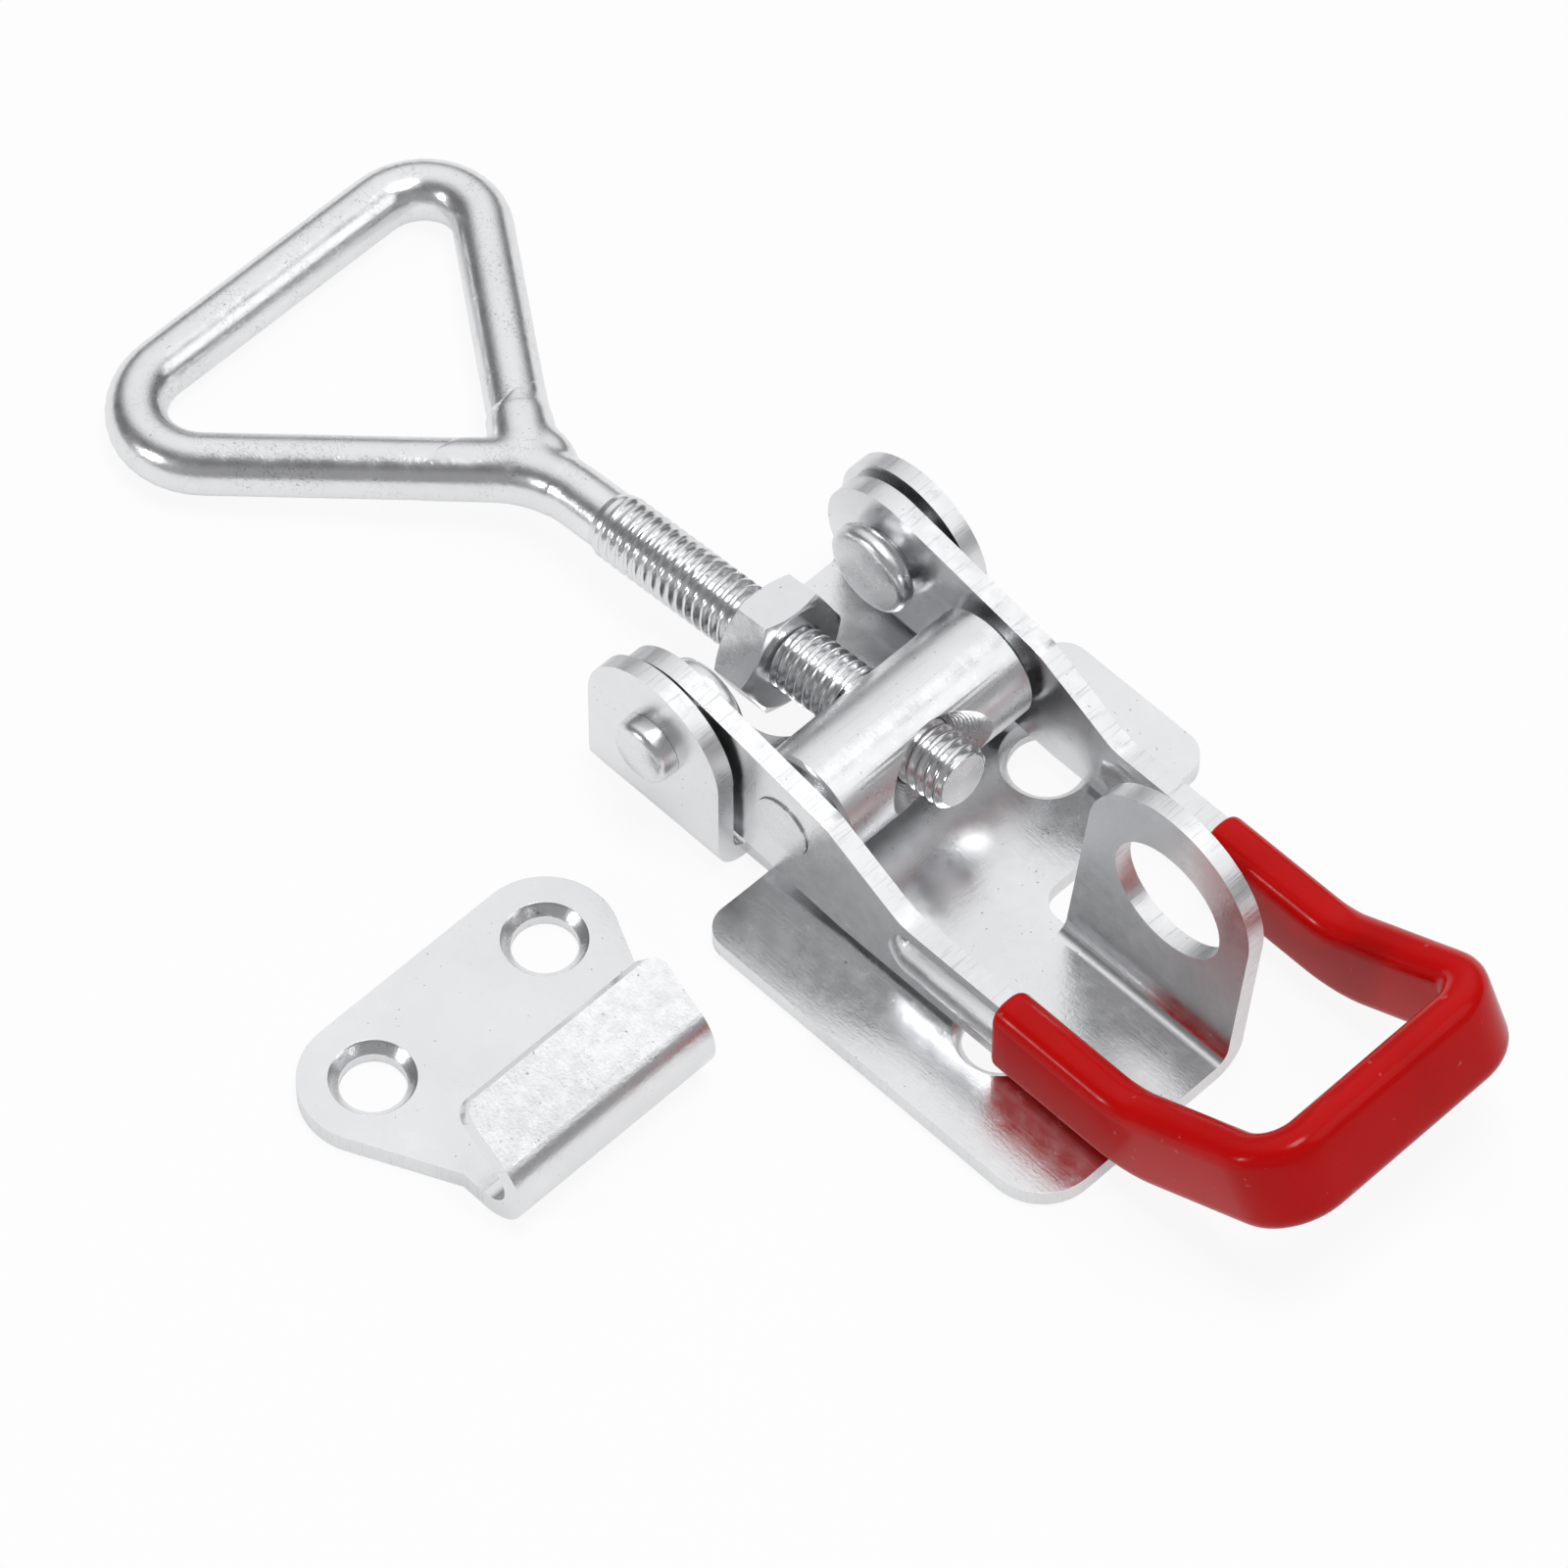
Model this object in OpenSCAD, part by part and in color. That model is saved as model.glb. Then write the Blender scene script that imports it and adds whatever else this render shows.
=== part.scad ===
// Cargo trailer door latch: an over-centre draw latch with an adjustable loop, and its separate keeper.
// +X runs from the loop to the handle, +Z up. The origin lies on the mounting face, on the centre line,
// midway between the two screw holes of the base. Heights start at the mounting face.

/* [Base plate] */
// Thickness of the folded base sheet
base_t = 1.7; // [1.4:0.1:2.2]
// Inner radius of the folds
fold_r = 1.5; // [1.2:0.1:2]
// Gap between each ear and the lever's arm
ear_gap = 0.6; // [0.4:0.05:1.2]
// Radius of the ears' round tops, about the pivot
ear_r = 7.6; // [6.5:0.1:8.4]
// Width of the base over its wings
base_w = 42.2; // [39:0.2:48]
// Distance from the pivot back to the front edge of the wings
wing_front = 11; // [9.5:0.1:12.5]
// Distance from the pivot back to the rear edge of the base
base_rear = 50.1; // [49.5:0.1:56]
// Distance from the pivot back to the front screw hole
screw_front = 19.1; // [17.5:0.1:20.5]
// Distance from the pivot back to the rear screw hole
screw_rear = 35.6; // [34:0.1:40]
// Distance of each screw hole from the centre line
screw_side = 11; // [9.5:0.1:12]
// Diameter of the screw holes
screw_d = 6.5; // [5:0.1:7]
// Diameter of the flare at the top of the screw holes
screw_flare_d = 8.1; // [7.4:0.1:8.6]
// Width of the slot under the draw bolt
bolt_slot_w = 7.8; // [7:0.1:10]
// Distance from the pivot back to the end of the slot under the draw bolt
bolt_slot_end = 3.45; // [2:0.05:6]
// Upward slope of the wings beyond their crease, in degrees
wing_tilt = 2; // [0:0.5:4]

/* [Padlock tab] */
// Distance from the pivot back to the opening that the tab was folded out of
relief_front = 28.4; // [27:0.1:30]
// Distance from the pivot back to the foot of the tab, front side
tab_foot_front = 31.9; // [31:0.1:33.5]
// Distance of the tab's near face from the centre line
tab_side = 0.33; // [0.3:0.01:2]
// Distance from the pivot back to the middle of the tab's round top
tab_mid = 42.6; // [41.5:0.1:43.5]
// Radius of the tab's round top
tab_r = 8.9; // [8.4:0.1:9.4]
// Height of the tab
tab_h = 27.3; // [25.5:0.1:30]
// Height of the padlock hole's middle
lock_z = 16.4; // [15.4:0.1:17.4]
// Diameter of the padlock hole
lock_d = 11.5; // [9:0.1:12.5]

/* [Lever] */
// Thickness of the lever sheet
lever_t = 1.9; // [1.6:0.1:2.1]
// Distance between the outer faces of the two arms
lever_w = 26.4; // [25.6:0.1:26.6]
// Height of the pivot axis
pivot_z = 11; // [10.6:0.1:12]
// Radius of the arms' front ends, about the pivot
arm_r = 6.8; // [6:0.1:7.2]
// Distance from the pivot back to the shoulder where the arms step down
step_start = 17.4; // [16.6:0.1:19]
// Height of the arms' top edge at that shoulder
step_z = 14.5; // [13.5:0.1:15.5]
// Distance from the pivot back to the foot of that step
step_end = 26.2; // [25:0.1:27.5]
// Height of the strip that the handle is bent from
strip_h = 7.3; // [7:0.1:8]
// Gap between the closed lever's grip and the base
rest_gap = 0.15; // [0.1:0.05:0.6]
// Distance from the pivot back to the handle's upward kink
kink_x = 51.4; // [48:0.1:53]
// Upward slope of the handle behind the kink, in degrees
kink_angle = 28.3; // [22:0.1:34]
// Radius of the kink along the strip's middle
kink_r = 11; // [9:0.5:14]
// Length from the kink to the middle of the cross bar
handle_l = 18.1; // [17:0.1:26]
// Radius of the handle's two corners along the strip's middle
corner_r = 4; // [3:0.1:7]
// Width of the rib pressed into each arm
rib_w = 4.8; // [4:0.1:5]
// Depth of the rib pressed into each arm
rib_d = 0.7; // [0.5:0.05:0.8]
// Distance from the pivot back to the rib's round front end
rib_front = 24.8; // [24:0.1:28]

/* [Grip] */
// Distance from the pivot back to the front ends of the grip
grip_start = 38; // [35:0.1:42]
// Thickness of the grip over the metal's flat sides
grip_t = 1.05; // [1:0.05:1.8]
// Thickness of the grip over the metal's edges
grip_edge_t = 0.5; // [0.4:0.05:0.9]
// Radius of the grip's rounded corners
grip_r = 1.8; // [1.4:0.1:1.9]

/* [Pivot rivets] */
// Diameter of the rivet shanks
rivet_d = 5; // [4.4:0.1:5.8]
// Diameter of the rivet heads inside the arms
rivet_head_d = 8.1; // [7.2:0.1:9]
// Height of the rivet heads
rivet_head_h = 1.7; // [1.2:0.1:2]
// Diameter of the closed ends where they meet the ears
rivet_tail_d = 6; // [6:0.1:7]
// Height of the closed ends outside the ears
rivet_tail_h = 1.95; // [1.4:0.05:2.4]

/* [Trunnion] */
// Distance from the pivot back to the trunnion axis
trunnion_x = 12.7; // [12.2:0.1:13.2]
// Height of the trunnion axis below the pivot axis
trunnion_drop = 1.05; // [0.7:0.05:1.4]
// Diameter of the trunnion
trunnion_d = 10.5; // [9.8:0.1:11]
// Gap between each shoulder of the trunnion and the lever's arm
trunnion_play = 0.75; // [0.3:0.05:1.2]
// Diameter of the trunnion's two tenons
tenon_d = 5.6; // [5:0.1:6.2]
// How far the tenons end inside the arms' outer faces
tenon_inset = 0.6; // [0.3:0.05:1]
// Diameter of the countersink at the trunnion's rear
sink_d = 11.4; // [10.4:0.1:12]
// Depth of the countersink below the trunnion's surface
sink_depth = 2.6; // [2:0.1:3]

/* [Draw bolt] */
// Diameter of the bolt's thread
thread_d = 6; // [5.5:0.1:6.4]
// Diameter of the wire that the bolt and its loop are bent from
wire_d = 5.3; // [4.8:0.1:5.8]
// Distance from the trunnion axis to the bolt's threaded tail end
tail_l = 7.5; // [6.5:0.1:9]
// Distance from the trunnion axis to the end of the thread towards the loop
thread_end = 33.8; // [30:0.1:35.5]
// Distance from the trunnion axis to the bend of the neck
neck_l = 41.9; // [41:0.1:44]
// Distance from the trunnion axis to the far bar of the loop
reach = 74.35; // [68:0.1:75]
// Sideways reach of the loop's near corner, before rounding
loop_near = 27.75; // [25:0.1:29]
// Sideways reach of the loop's far corner, before rounding
loop_far = 21.8; // [20:0.1:24]
// Bend radius of the neck
neck_r = 12; // [9:0.5:14]
// Bend radius of the loop's near corner
loop_near_r = 6.4; // [4:0.1:7]
// Bend radius of the loop's far corner
loop_far_r = 5.5; // [4:0.1:6.5]

/* [Lock nut] */
// Width of the nut across its flats
nut_af = 10; // [9:0.1:10.6]
// Thickness of the nut
nut_t = 3.2; // [2.6:0.1:4]
// Distance from the trunnion axis to the middle of the nut
nut_l = 14.5; // [13:0.1:16.5]
// Turn of the nut about the bolt, in degrees
nut_turn = -5; // [-15:1:15]

/* [Keeper] */
// Thickness of the keeper sheet
keeper_t = 1.9; // [1.5:0.1:2.2]
// Distance between the keeper's screw holes
keeper_pitch = 19.2; // [17:0.1:22]
// Diameter of the keeper's screw holes
keeper_hole_d = 5.6; // [4.8:0.1:6.2]
// Diameter of the flare at the top of the keeper's screw holes
keeper_flare_d = 7.3; // [6.6:0.1:8]
// Radius of the two lobes round the keeper's screw holes
lobe_r = 6.2; // [5.5:0.1:7]
// Width of the strip that the hook is bent from
hook_w = 21.6; // [20:0.1:24]
// Distance from the keeper's hole line to the start of its straight strip
hook_neck = 11.8; // [10.8:0.1:13]
// Distance from the keeper's hole line to the start of the hook's bend
hook_bend = 14.2; // [13.6:0.1:16]
// Inner radius of the hook's bend
hook_r = 2.5; // [2.2:0.1:4]
// Angle that the hook turns through
hook_angle = 142; // [118:1:150]
// Straight length of the hook behind its bend
hook_tip = 6.2; // [3:0.1:7]
// Radius of the hook's two free corners
hook_corner_r = 1.6; // [0.5:0.1:3]
// Distance of the keeper's hole line from the pivot, along X
keeper_x = 3.1; // [0:0.1:8]
// Distance of the keeper's middle from the centre line
keeper_side = 40.5; // [38:0.5:60]

/* [Hidden] */
$fn = 96;

// Clearances: round parts that run in each other, rounded parts that are moulded on, and small chamfers.
run_gap = 0.05;
grip_gap = 0.03;
edge_cut = 0.35;
// A cutter passes a face by this much.
past = 1;
// A bend is this much thicker than the straight bars that run into it, which they do by the lap.
swell = 0.02;
lap = 0.2;
// A straight side runs this far inside the round end that it meets.
tuck = 0.005;

pivot_x = -(screw_front + screw_rear) / 2;
arm_out = lever_w / 2;
arm_in = arm_out - lever_t;
arm_mid = arm_out - lever_t / 2;
fold_out = fold_r + base_t;
ear_out = arm_out + ear_gap + base_t;
ear_foot = ear_out - fold_out;
crease_y = ear_out;
wing_out = base_w / 2;
wing_rise = (wing_out - crease_y) * tan(wing_tilt);
// Roundings of the stampings' corners.
wing_front_r = 2.6;
wing_rear_r = 5;
relief_r = 2.4;
shoulder_r = 2.5;
step_foot_r = 5;
belly_r = 6;
// The arm's lower edge leaves the strip this far behind the shoulder.
belly_x = step_start + 2;
// The plain strip starts this far behind the foot of the step.
strip_x = step_end + 4;
strip_z = base_t + rest_gap + grip_edge_t;
strip_mid = strip_z + strip_h / 2;
trunnion_z = pivot_z - trunnion_drop;
trunnion_half = arm_in - trunnion_play;
bolt_slope = asin((trunnion_z - wire_d / 2) / reach);
// Share of a closed rivet end's diameter that is left at its tip.
rivet_tail_tip = 0.72;
keeper_half = keeper_pitch / 2;
kink_reach = kink_r * tan(kink_angle / 2);
bolt_bore_r = thread_d / 2 + run_gap;
// Share of the nut's width across flats that its round faces keep.
nut_face = 0.97;
// The loop's end is welded on this far behind the neck's bend, under a collar.
weld_x = 2.1;
collar_l = 6;
collar_h = 0.2;
rib_r = (rib_w * rib_w / 4 + rib_d * rib_d) / (2 * rib_d);

// Everything is drawn in a frame whose origin lies on the mounting face under the pivot axis.
module from_pivot() translate([pivot_x, 0, 0]) children();

// Extrudes an outline of (x, z) points between two places along Y.
module along_y(y0, y1) translate([0, y1, 0]) rotate([90, 0, 0]) linear_extrude(y1 - y0) children();

// Extrudes an outline of (y, z) points between two places along X.
module along_x(x0, x1) translate([x0, 0, 0]) rotate([90, 0, 90]) linear_extrude(x1 - x0) children();

// A round bar along Y, centred on its place.
module bar_y(d, l) rotate([90, 0, 0]) cylinder(d = d, h = l, center = true);

// The small three-cornered piece between a square corner at (x, y) and its rounding of radius r.
// sx and sy are the signs of the directions from the corner to the middle of the rounding.
module spandrel(x, y, r, sx, sy) difference() {
    translate([min(x, x + sx * r), min(y, y + sy * r)]) square(r);
    translate([x + sx * r, y + sy * r]) circle(r);
}

// A quarter of a folded sheet's section, from lying at z = 0 to standing with its outer face at y = r_out.
module fold_section(r_in, r_out) translate([0, r_out]) intersection() {
    difference() {
        circle(r_out);
        circle(r_in);
    }
    translate([0, -r_out]) square(r_out);
}

// A rectangle of a by b about the origin, with its corners rounded to r.
module rounded_bar(a, b, r) {
    square([a - 2 * r, b], center = true);
    square([a, b - 2 * r], center = true);
    if (r > 0) for (i = [-1, 1], j = [-1, 1]) translate([i * (a / 2 - r), j * (b / 2 - r)]) circle(r);
}

function unit(v) = v / norm(v);

function heading(v) = atan2(v[1], v[0]);

// The point where a line from p touches the circle of radius r about c, on the side that s chooses.
function touch(p, c, r, s) =
    let (v = p - c, q = r - tuck, a = heading(v) + s * acos(q / norm(v))) c + q * [cos(a), sin(a)];

// The arc of radius r that rounds the corner q between p and s.
function corner_arc(p, q, s, r, steps = 8) =
    let (
        u = unit(p - q),
        v = unit(s - q),
        half = acos(u * v) / 2,
        c = q + unit(u + v) * r / sin(half),
        from = heading(q + u * r / tan(half) - c),
        swing = heading(q + v * r / tan(half) - c) - from,
        turn = swing > 180 ? swing - 360 : swing < -180 ? swing + 360 : swing
    )
    [for (i = [0:steps]) c + r * [cos(from + turn * i / steps), sin(from + turn * i / steps)]];

// An outline whose corners are each [x, y, radius].
function rounded_outline(p) =
    let (n = len(p), xy = [for (q = p) [q[0], q[1]]])
    [for (i = [0:n - 1]) each p[i][2] > 0
        ? corner_arc(xy[(i + n - 1) % n], xy[i], xy[(i + 1) % n], p[i][2])
        : [xy[i]]];

// A hole through a sheet of thickness t that lies at z = 0, with a flare at its top.
module flared_hole(d, flare_d, t) {
    flare = (flare_d - d) / 2;
    translate([0, 0, -past]) cylinder(d = d, h = t + 2 * past);
    translate([0, 0, t - flare]) cylinder(r1 = d / 2, r2 = flare_d / 2 + past, h = flare + past);
}

// Base plate: one stamping with two ears folded up, two wings, and a padlock tab folded up out of its rear corner.

module bolt_slot_outline() {
    slot_r = bolt_slot_w / 2;
    translate([bolt_slot_end - slot_r, 0]) circle(slot_r);
    translate([-ear_r - past, -slot_r]) square([bolt_slot_end - slot_r + ear_r + past, bolt_slot_w]);
}

// The outline of the flat stamping, seen from above.
module sheet_outline() {
    difference() {
        union() {
            translate([-ear_r, -ear_foot]) square([base_rear + ear_r, 2 * ear_foot]);
            translate([wing_front, -wing_out]) square([base_rear - wing_front, base_w]);
        }
        translate([relief_front, tab_side]) square([base_rear, base_w]);
        translate([tab_foot_front, tab_side - fold_r]) square([base_rear, base_w]);
        bolt_slot_outline();
        spandrel(wing_front, -wing_out, wing_front_r, 1, 1);
        spandrel(wing_front, wing_out, wing_front_r, 1, -1);
        spandrel(base_rear, -wing_out, wing_rear_r, -1, 1);
        spandrel(relief_front, wing_out, wing_front_r, -1, -1);
    }
    spandrel(relief_front, tab_side, relief_r, 1, 1);
}

// The sheet's section across the latch: flat between the two creases, then rising a little to the rims.
module sheet_section() polygon([
    [-wing_out, wing_rise],
    [-crease_y, 0],
    [crease_y, 0],
    [wing_out, wing_rise],
    [wing_out, base_t + wing_rise],
    [crease_y, base_t],
    [-crease_y, base_t],
    [-wing_out, base_t + wing_rise]
]);

// The ear on the +Y side with its fold.
module ear() {
    along_y(ear_out - base_t, ear_out) {
        translate([0, pivot_z]) circle(ear_r);
        translate([-ear_r, fold_out]) square([2 * ear_r, pivot_z - fold_out]);
    }
    along_x(-ear_r, ear_r) translate([ear_foot, 0]) fold_section(fold_r, fold_out);
}

module padlock_tab() {
    top = [tab_mid, tab_h - tab_r];
    front = [tab_foot_front, fold_out];
    rear = [base_rear, fold_out];
    along_y(tab_side, tab_side + base_t) {
        translate(top) circle(tab_r);
        polygon([front, rear, touch(rear, top, tab_r, 1), top, touch(front, top, tab_r, -1)]);
    }
    along_x(tab_foot_front, base_rear) translate([tab_side - fold_r, 0]) fold_section(fold_r, fold_out);
}

module base_plate() color([0.86, 0.87, 0.88]) from_pivot() difference() {
    union() {
        intersection() {
            linear_extrude(base_t + wing_rise) sheet_outline();
            along_x(-ear_r - past, base_rear + past) sheet_section();
        }
        ear();
        mirror([0, 1, 0]) ear();
        padlock_tab();
    }
    translate([screw_front, screw_side, 0]) flared_hole(screw_d, screw_flare_d, base_t);
    translate([screw_rear, -screw_side, 0]) flared_hole(screw_d, screw_flare_d, base_t);
    translate([0, 0, pivot_z]) bar_y(rivet_d + 2 * run_gap, 2 * (ear_out + past));
    translate([tab_mid, tab_side + base_t / 2, lock_z]) bar_y(lock_d, base_t + 2 * past);
}

// Lever: one strip, bent to a U on edge, with two broad arms at its front.

// The outline of an arm from its round front end to where the plain strip begins.
module arm_outline() {
    middle = [0, pivot_z];
    shoulder = [step_start, step_z];
    belly = [belly_x, strip_z];
    translate(middle) circle(arm_r);
    polygon(rounded_outline([
        concat(touch(shoulder, middle, arm_r, 1), 0),
        concat(shoulder, shoulder_r),
        [step_end, strip_z + strip_h, step_foot_r],
        [strip_x, strip_z + strip_h, 0],
        [strip_x, strip_z, 0],
        concat(belly, belly_r),
        concat(touch(belly, middle, arm_r, -1), 0),
        concat(middle, 0)
    ]));
}

// A bar of section w by h with corners of radius r, bent along the handle from x = start on one arm
// to the same place on the other.
module along_handle(w, h, r, start) {
    side = arm_mid - corner_r;
    for (s = [0, 1]) mirror([0, s, 0]) {
        translate([0, arm_mid, strip_mid]) along_x(start, kink_x - kink_reach + lap) rounded_bar(w, h, r);
        translate([kink_x - kink_reach, 0, strip_mid + kink_r]) rotate([90, 0, 0]) rotate([0, 0, -90])
            rotate_extrude(angle = kink_angle) translate([kink_r, -arm_mid])
                rounded_bar(h + 2 * swell, w + 2 * swell, r);
        on_slope() {
            translate([0, arm_mid, 0]) along_x(kink_reach - lap, handle_l - corner_r + lap) rounded_bar(w, h, r);
            translate([handle_l - corner_r, side, 0]) rotate_extrude(angle = 90) translate([corner_r, 0])
                rounded_bar(w + 2 * swell, h + 2 * swell, r);
        }
    }
    on_slope() translate([handle_l, 0, 0]) along_y(-side - lap, side + lap) rounded_bar(w, h, r);
}

// The frame of the handle's rising part: its origin at the kink, +X up the slope.
module on_slope() translate([kink_x, 0, strip_mid]) rotate([0, -kink_angle, 0]) children();

// The round-ended bar whose side makes the rib on the +Y arm, shifted by dy.
module rib_body(dy) {
    length = kink_x - kink_reach - rib_front - rib_w / 2;
    translate([rib_front + rib_w / 2, arm_out + rib_d - rib_r + dy, strip_mid]) {
        sphere(rib_r);
        rotate([0, 90, 0]) cylinder(r = rib_r, h = length);
    }
}

// The part of the rib that stands proud of the arm's outer face.
module rib() intersection() {
    rib_body(0);
    translate([rib_front, arm_out - past, 0]) cube([kink_x - rib_front, past + rib_d + past, pivot_z]);
}

// The hollow that the rib leaves in the arm's inner face.
module rib_hollow() intersection() {
    rib_body(-lever_t);
    translate([rib_front, arm_in - past, 0]) cube([kink_x - rib_front, past + rib_d + past, pivot_z]);
}

module lever_metal(gap = 0) {
    along_handle(lever_t + 2 * gap, strip_h + 2 * gap, 0, strip_x);
    for (s = [0, 1]) mirror([0, s, 0]) rib();
}

module lever() color([0.84, 0.85, 0.86]) from_pivot() difference() {
    union() {
        lever_metal();
        for (s = [0, 1]) mirror([0, s, 0]) along_y(arm_in, arm_out) arm_outline();
    }
    for (s = [0, 1]) mirror([0, s, 0]) rib_hollow();
    translate([0, 0, pivot_z]) bar_y(rivet_d + 2 * run_gap, lever_w + 2 * past);
    translate([trunnion_x, 0, trunnion_z]) bar_y(tenon_d + 2 * run_gap, lever_w + 2 * past);
}

// Grip: the soft red cover on the handle, with the metal's own shape left open in it.

module grip_sleeve() color([0.7, 0.09, 0.09]) from_pivot() difference() {
    along_handle(lever_t + 2 * grip_t, strip_h + 2 * grip_edge_t, grip_r, grip_start);
    lever_metal(grip_gap);
}

// Pivot rivets: a round head inside each arm, a shank through arm and ear, a closed end outside.

module pivot_rivet() translate([0, 0, pivot_z]) rotate([-90, 0, 0]) {
    dome_r = (rivet_head_d * rivet_head_d / 4 + rivet_head_h * rivet_head_h) / (2 * rivet_head_h);
    intersection() {
        translate([0, 0, arm_in - rivet_head_h + dome_r]) sphere(dome_r);
        translate([0, 0, arm_in - rivet_head_h]) cylinder(d = rivet_head_d, h = rivet_head_h);
    }
    translate([0, 0, arm_in]) cylinder(d = rivet_d, h = ear_out - arm_in);
    translate([0, 0, ear_out]) cylinder(d1 = rivet_tail_d, d2 = rivet_tail_d * rivet_tail_tip, h = rivet_tail_h);
}

module pivot_rivet_left() color([0.8, 0.81, 0.82]) from_pivot() mirror([0, 1, 0]) pivot_rivet();

module pivot_rivet_right() color([0.8, 0.81, 0.82]) from_pivot() pivot_rivet();

// The bolt's own frame: its origin on the trunnion axis, +X along the bolt away from the loop.
module on_bolt() from_pivot() translate([trunnion_x, 0, trunnion_z]) rotate([0, -bolt_slope, 0]) children();

// Trunnion: a turned bar with a tenon at each end, cross-drilled for the bolt and countersunk at its rear.

module trunnion_turning() {
    end = arm_out - tenon_inset;
    r = trunnion_d / 2;
    rotate([-90, 0, 0]) rotate_extrude() polygon([
        [0, -end],
        [tenon_d / 2, -end],
        [tenon_d / 2, -trunnion_half],
        [r - edge_cut, -trunnion_half],
        [r, edge_cut - trunnion_half],
        [r, trunnion_half - edge_cut],
        [r - edge_cut, trunnion_half],
        [tenon_d / 2, trunnion_half],
        [tenon_d / 2, end],
        [0, end]
    ]);
}

module trunnion() color([0.8, 0.81, 0.82]) on_bolt() difference() {
    r = trunnion_d / 2;
    flare = (sink_d / 2 - bolt_bore_r) / sink_depth;
    trunnion_turning();
    rotate([0, 90, 0]) cylinder(r = bolt_bore_r, h = trunnion_d + 2 * past, center = true);
    translate([r - sink_depth, 0, 0]) rotate([0, 90, 0])
        cylinder(r1 = bolt_bore_r, r2 = sink_d / 2 + flare * past, h = sink_depth + past);
}

// Lock nut: a thin hexagon nut, chamfered on both faces.

module lock_nut() color([0.82, 0.83, 0.84]) on_bolt() translate([-nut_l, 0, 0]) rotate([nut_turn, 0, 0])
    rotate([0, 90, 0]) difference() {
        corner = nut_af / 2 / cos(30);
        face_r = nut_face * nut_af / 2;
        slope = (corner - face_r) * tan(30);
        intersection() {
            rotate([0, 0, 30]) linear_extrude(nut_t, center = true) circle(corner, $fn = 6);
            rotate_extrude() polygon([
                [0, -nut_t / 2],
                [face_r, -nut_t / 2],
                [corner, slope - nut_t / 2],
                [corner, nut_t / 2 - slope],
                [face_r, nut_t / 2],
                [0, nut_t / 2]
            ]);
        }
        cylinder(r = bolt_bore_r, h = nut_t + 2 * past, center = true);
    }

// Draw bolt: a threaded rod whose plain end is bent round to a three-cornered loop and welded to its neck.

// The angle that a path turns through at its point i.
function path_turn(p, i) = acos(unit(p[i] - p[i - 1]) * unit(p[i + 1] - p[i]));

// The length that a bend of radius r takes off the straight stretches beside point i.
function bend_reach(p, radii, i) = i == 0 || i == len(p) - 1 ? 0 : radii[i] * tan(path_turn(p, i) / 2);

// A round wire of radius r along a flat path, bent to radii[i] at point i.
module bent_wire(p, radii, r) {
    $fn = 48;
    for (i = [0:len(p) - 2]) {
        u = unit(p[i + 1] - p[i]);
        from = bend_reach(p, radii, i) - lap;
        to = norm(p[i + 1] - p[i]) - bend_reach(p, radii, i + 1) + lap;
        translate(p[i] + u * from) rotate([0, 0, heading(u)]) rotate([0, 90, 0]) cylinder(r = r, h = to - from);
    }
    for (i = [1:len(p) - 2]) {
        u = unit(p[i] - p[i - 1]);
        v = unit(p[i + 1] - p[i]);
        side = cross(u, v) > 0 ? 1 : -1;
        middle = p[i] - u * bend_reach(p, radii, i) + side * radii[i] * [-u[1], u[0]];
        from = side > 0 ? heading(u) - 90 : heading(v) + 90;
        translate(middle) rotate([0, 0, from])
            rotate_extrude(angle = path_turn(p, i)) translate([radii[i], 0]) circle(r + swell);
    }
}

module draw_bolt() color([0.88, 0.89, 0.9]) on_bolt() {
    wire_r = wire_d / 2;
    weld = [-neck_l - weld_x, 0];
    far_corner = [-reach, loop_far];
    translate([-thread_end, 0, 0]) rotate([0, 90, 0]) cylinder(d = thread_d, h = thread_end + tail_l - edge_cut);
    translate([tail_l - edge_cut, 0, 0]) rotate([0, 90, 0])
        cylinder(d1 = thread_d, d2 = thread_d - 2 * edge_cut, h = edge_cut);
    bent_wire([[-thread_end, 0], [-neck_l, 0], [-reach, -loop_near], far_corner, weld],
        [0, neck_r, loop_near_r, loop_far_r, 0], wire_r);
    translate(weld) rotate([0, 0, heading(far_corner - weld)]) rotate([0, 90, 0])
        cylinder(r = wire_r + collar_h, h = collar_l);
}

// Keeper: a flat plate with a lobe round each screw hole, its other side curled up and back to a hook.

module keeper_outline() {
    neck = [hook_neck, hook_w / 2];
    lobe = [0, keeper_half];
    side = touch(neck, lobe, lobe_r, 1);
    for (s = [-1, 1]) translate([0, s * keeper_half]) circle(lobe_r);
    polygon([
        [-lobe_r, -keeper_half],
        [0, -keeper_half],
        [side[0], -side[1]],
        [neck[0], -neck[1]],
        [hook_bend + lap, -neck[1]],
        [hook_bend + lap, neck[1]],
        neck,
        side,
        lobe,
        [-lobe_r, keeper_half]
    ]);
}

module keeper_hook() {
    r_out = hook_r + keeper_t;
    translate([hook_bend, 0, r_out]) {
        rotate([90, 0, 0]) rotate([0, 0, -90]) rotate_extrude(angle = hook_angle)
            translate([hook_r - swell, -hook_w / 2 - swell]) square([keeper_t + 2 * swell, hook_w + 2 * swell]);
        rotate([0, -hook_angle, 0]) translate([0, 0, -r_out]) linear_extrude(keeper_t) difference() {
            translate([-lap, -hook_w / 2]) square([lap + hook_tip, hook_w]);
            for (s = [-1, 1]) spandrel(hook_tip, s * hook_w / 2, hook_corner_r, -1, -s);
        }
    }
}

module keeper() color([0.86, 0.87, 0.88]) from_pivot() translate([keeper_x, -keeper_side, 0]) difference() {
    union() {
        linear_extrude(keeper_t) keeper_outline();
        keeper_hook();
    }
    for (s = [-1, 1])
        translate([0, s * keeper_half, 0]) flared_hole(keeper_hole_d, keeper_flare_d, keeper_t);
}

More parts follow.
